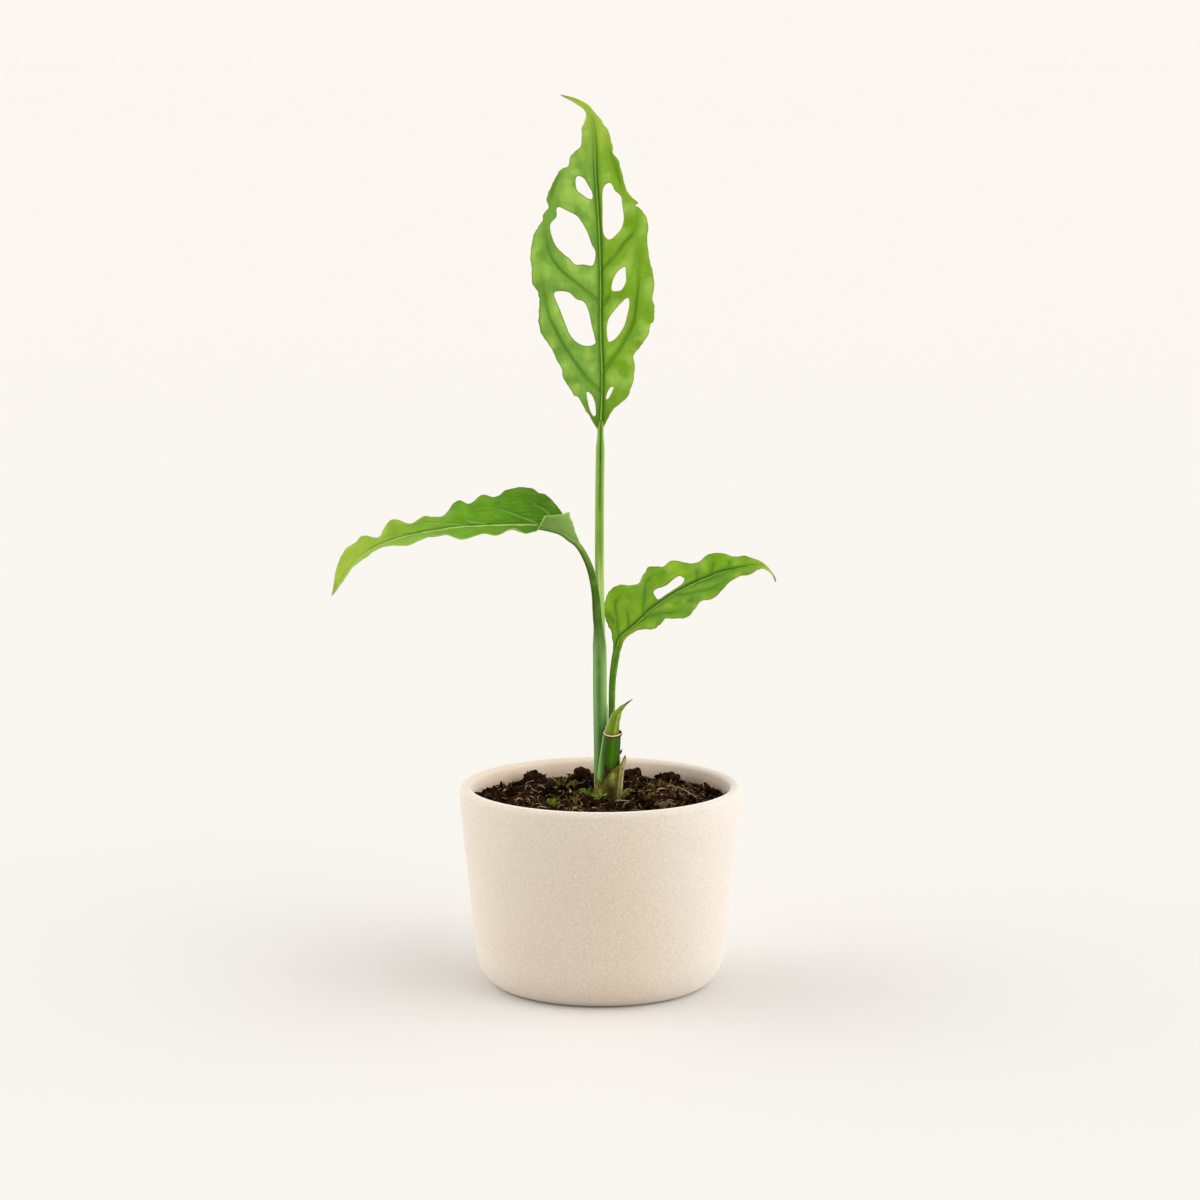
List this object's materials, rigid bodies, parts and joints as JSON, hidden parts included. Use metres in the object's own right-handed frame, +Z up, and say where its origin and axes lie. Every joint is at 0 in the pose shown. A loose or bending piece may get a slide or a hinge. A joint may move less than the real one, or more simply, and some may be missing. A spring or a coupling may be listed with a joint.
{
  "type": "potted monstera obliqua",
  "caption": "Young potted monstera obliqua: holed upright blade and solid side blades on long stalks from a cut stem, in a round tapered ceramic pot.",
  "frame": {"origin": "The middle of the pot's flat base, on the surface it stands on.", "axes": "+Z up, +Y away from the viewer of the plant's front, +X to the viewer's right, where the right blade points."},
  "size_m": [0.1411, 0.0902, 0.2833],
  "materials": {
    "glazed_pot": "matte sand-speckled glaze",
    "potting_soil": "crumbly, dark and slightly moist",
    "leaf_upper": "thin leaf with a soft sheen",
    "stalk_light": "smooth plant skin with a soft sheen",
    "leaf_left": "thin leaf with a soft sheen",
    "stalk_grey": "smooth plant skin with a soft sheen",
    "leaf_right": "thin leaf with a soft sheen",
    "stalk_dark": "smooth plant skin with a soft sheen",
    "old_stem": "glossy plant skin",
    "young_bud": "smooth, slightly translucent",
    "dry_scale": "dry and papery"
  },
  "bodies": {
    "root": {"pot": "glazed_pot", "soil": "potting_soil", "blade_upper": "leaf_upper", "petiole_upper": "stalk_light", "blade_left": "leaf_left", "petiole_left": "stalk_grey", "blade_right": "leaf_right", "petiole_right": "stalk_dark", "stem_stub": "old_stem", "bud_sheath": "young_bud", "dry_sheath": "dry_scale"}
  },
  "joints": []
}
